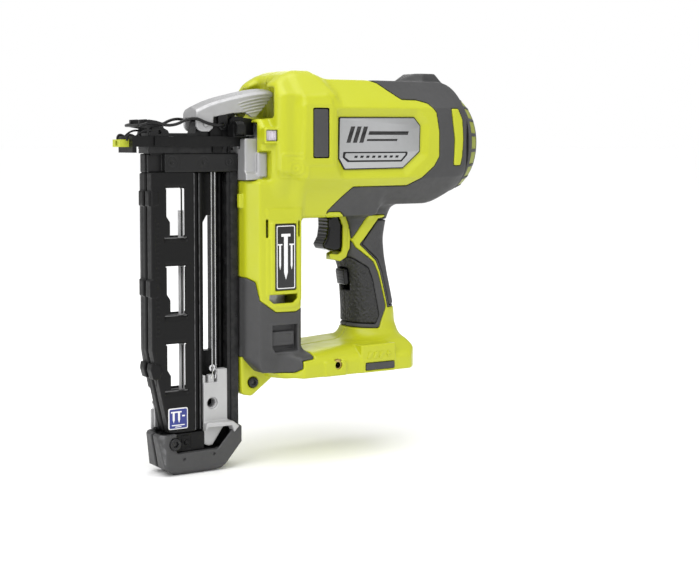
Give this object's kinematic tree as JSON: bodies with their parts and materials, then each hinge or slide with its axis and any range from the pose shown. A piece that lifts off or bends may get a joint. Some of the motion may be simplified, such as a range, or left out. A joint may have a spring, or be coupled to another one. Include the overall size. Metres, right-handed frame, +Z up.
{
  "type": "cordless finish nailer",
  "caption": "Cordless air-spring finish nailer for straight strips, with latching nose door, side-window magazine, spring pusher, trigger handle and battery socket.",
  "frame": {"origin": "bottom centre of the bounding box, on the underside of the magazine foot", "axes": "+Z up as the tool stands on its foot, the drive line along X with the nose towards -X, tool left side towards -Y"},
  "size_m": [0.282, 0.077, 0.2775],
  "materials": {
    "lime_plastic": "satin moulded",
    "grey_overmould": "soft touch",
    "brushed_plate": "brushed",
    "black_plastic": "moulded",
    "grip_rubber": "pebbled",
    "clear_lens": "clear",
    "zinc_screw": "plated",
    "brass_part": "turned",
    "circuit_board": "coated",
    "cast_alloy": "bead blasted",
    "black_steel": "black oxide",
    "lime_rubber": "moulded",
    "spring_steel": "polished",
    "foot_grey": "moulded",
    "blue_label": "printed film",
    "machined_alloy": "machined",
    "copper_winding": "wound"
  },
  "bodies": {
    "tool_body": {"left_housing": "lime_plastic", "right_housing": "lime_plastic", "left_overmould": "grey_overmould", "right_overmould": "grey_overmould", "left_lower_cover": "grey_overmould", "right_lower_cover": "grey_overmould", "rear_end_cap": "grey_overmould", "vent_ring": "lime_plastic", "badge_plates": "brushed_plate", "name_plates": "black_plastic", "grip_sleeve": "grip_rubber", "rear_grip_insert": "grip_rubber", "trigger_surround": "lime_plastic", "led_lenses": "clear_lens", "front_bumper_pads": "grey_overmould", "rear_bumper_pads": "lime_plastic", "base_bumper_pads": "grey_overmould", "housing_screws": "zinc_screw", "battery_socket": "black_plastic", "battery_terminals": "brass_part", "hook_inserts": "brass_part", "control_board": "circuit_board", "trigger_switch": "black_plastic", "trigger_pin": "zinc_screw", "nose_casting": "cast_alloy", "nose_guide": "black_steel", "door_pin": "zinc_screw", "left_magazine_cover": "black_plastic", "right_magazine_cover": "black_plastic", "magazine_rail": "black_steel", "magazine_top_bar": "black_plastic", "spring_tape": "spring_steel", "left_foot": "foot_grey", "right_foot": "foot_grey", "magazine_screws": "zinc_screw", "gauge_label": "blue_label", "compression_cylinder": "machined_alloy", "crank_bearings": "spring_steel", "gearbox_housing": "machined_alloy", "motor_can": "spring_steel", "drive_cylinder": "machined_alloy", "drive_bumper": "grip_rubber", "air_unit": "black_plastic"},
    "trigger": {"trigger": "black_plastic"},
    "mode_switch": {"mode_switch": "black_plastic"},
    "nose_door": {"nose_door": "black_steel"},
    "latch": {"latch_lever": "cast_alloy", "latch_pin": "zinc_screw"},
    "bail": {"wire_bail": "black_steel"},
    "contact": {"contact_arm": "black_plastic", "no_mar_pad": "lime_rubber"},
    "depth_wheel": {"depth_wheel": "black_plastic"},
    "pusher": {"pusher": "cast_alloy", "spring_coil": "spring_steel"},
    "strip_latch": {"strip_latch": "cast_alloy"},
    "comp_piston": {"compression_piston": "machined_alloy"},
    "conrod": {"connecting_rod": "machined_alloy"},
    "crank": {"crankshaft": "spring_steel"},
    "rotor": {"motor_rotor": "copper_winding"},
    "driver": {"drive_piston": "spring_steel"}
  },
  "joints": [
    {"name": "trigger_pull", "type": "hinge", "parent": "tool_body", "child": "trigger", "pos_m": [0.031, 0, 0.175], "axis": [0, -1, 0], "range_deg": [0, 10], "stiffness_Nm_per_rad": 0.35, "springref_deg": -2.86},
    {"name": "mode_select", "type": "slide", "parent": "tool_body", "child": "mode_switch", "axis": [0, 0, -1], "range_m": [0, 0.004]},
    {"name": "contact_press", "type": "slide", "parent": "tool_body", "child": "contact", "axis": [1, 0, 0], "range_m": [0, 0.008], "stiffness_N_per_m": 500, "springref_m": -0.002},
    {"name": "depth_turn", "type": "hinge", "parent": "contact", "child": "depth_wheel", "pos_m": [-0.0588, -0.017, 0.2358], "axis": [1, 0, 0], "continuous": true},
    {"name": "door_open", "type": "hinge", "parent": "tool_body", "child": "nose_door", "pos_m": [-0.058, 0, 0.2356], "axis": [0, 1, 0], "range_deg": [0, 33.75]},
    {"name": "latch_open", "type": "hinge", "parent": "nose_door", "child": "latch", "pos_m": [-0.08, 0, 0.2385], "axis": [0, -1, 0], "range_deg": [0, 45]},
    {"name": "bail_swing", "type": "hinge", "parent": "latch", "child": "bail", "pos_m": [-0.0666, 0, 0.238], "axis": [0, -1, 0], "range_deg": [-45, 0]},
    {"name": "pusher_feed", "type": "slide", "parent": "tool_body", "child": "pusher", "axis": [0, 0, 1], "range_m": [0, 0.13], "deforming": ["spring_tape"]},
    {"name": "strip_latch_turn", "type": "hinge", "parent": "tool_body", "child": "strip_latch", "pos_m": [-0.11, 0.0107, 0.04], "axis": [0, 0, -1], "range_deg": [0, 14], "stiffness_Nm_per_rad": 0.05},
    {"name": "crank_turn", "type": "hinge", "parent": "tool_body", "child": "crank", "pos_m": [0, 0, 0.197], "axis": [1, 0, 0], "range_deg": [0, 180]},
    {"name": "conrod_swing", "type": "hinge", "parent": "crank", "child": "conrod", "pos_m": [-0.033, 0, 0.205], "axis": [1, 0, 0], "range_deg": [-180, 0]},
    {"name": "comp_stroke", "type": "slide", "parent": "tool_body", "child": "comp_piston", "axis": [0, 0, -1], "range_m": [0, 0.01605]},
    {"name": "rotor_spin", "type": "hinge", "parent": "tool_body", "child": "rotor", "pos_m": [0.09, 0, 0.209], "axis": [1, 0, 0], "continuous": true},
    {"name": "driver_stroke", "type": "slide", "parent": "tool_body", "child": "driver", "axis": [-1, 0, 0], "range_m": [0, 0.066]}
  ],
  "couplings": [
    {"joint": "door_open", "follows": "latch_open", "ratio": 0.75},
    {"joint": "bail_swing", "follows": "latch_open", "ratio": -1},
    {"joint": "conrod_swing", "follows": "crank_turn", "ratio": -1},
    {"joint": "comp_stroke", "follows": "crank_turn", "m_per_rad": 0.005093},
    {"joint": "rotor_spin", "follows": "crank_turn", "ratio": -3}
  ]
}
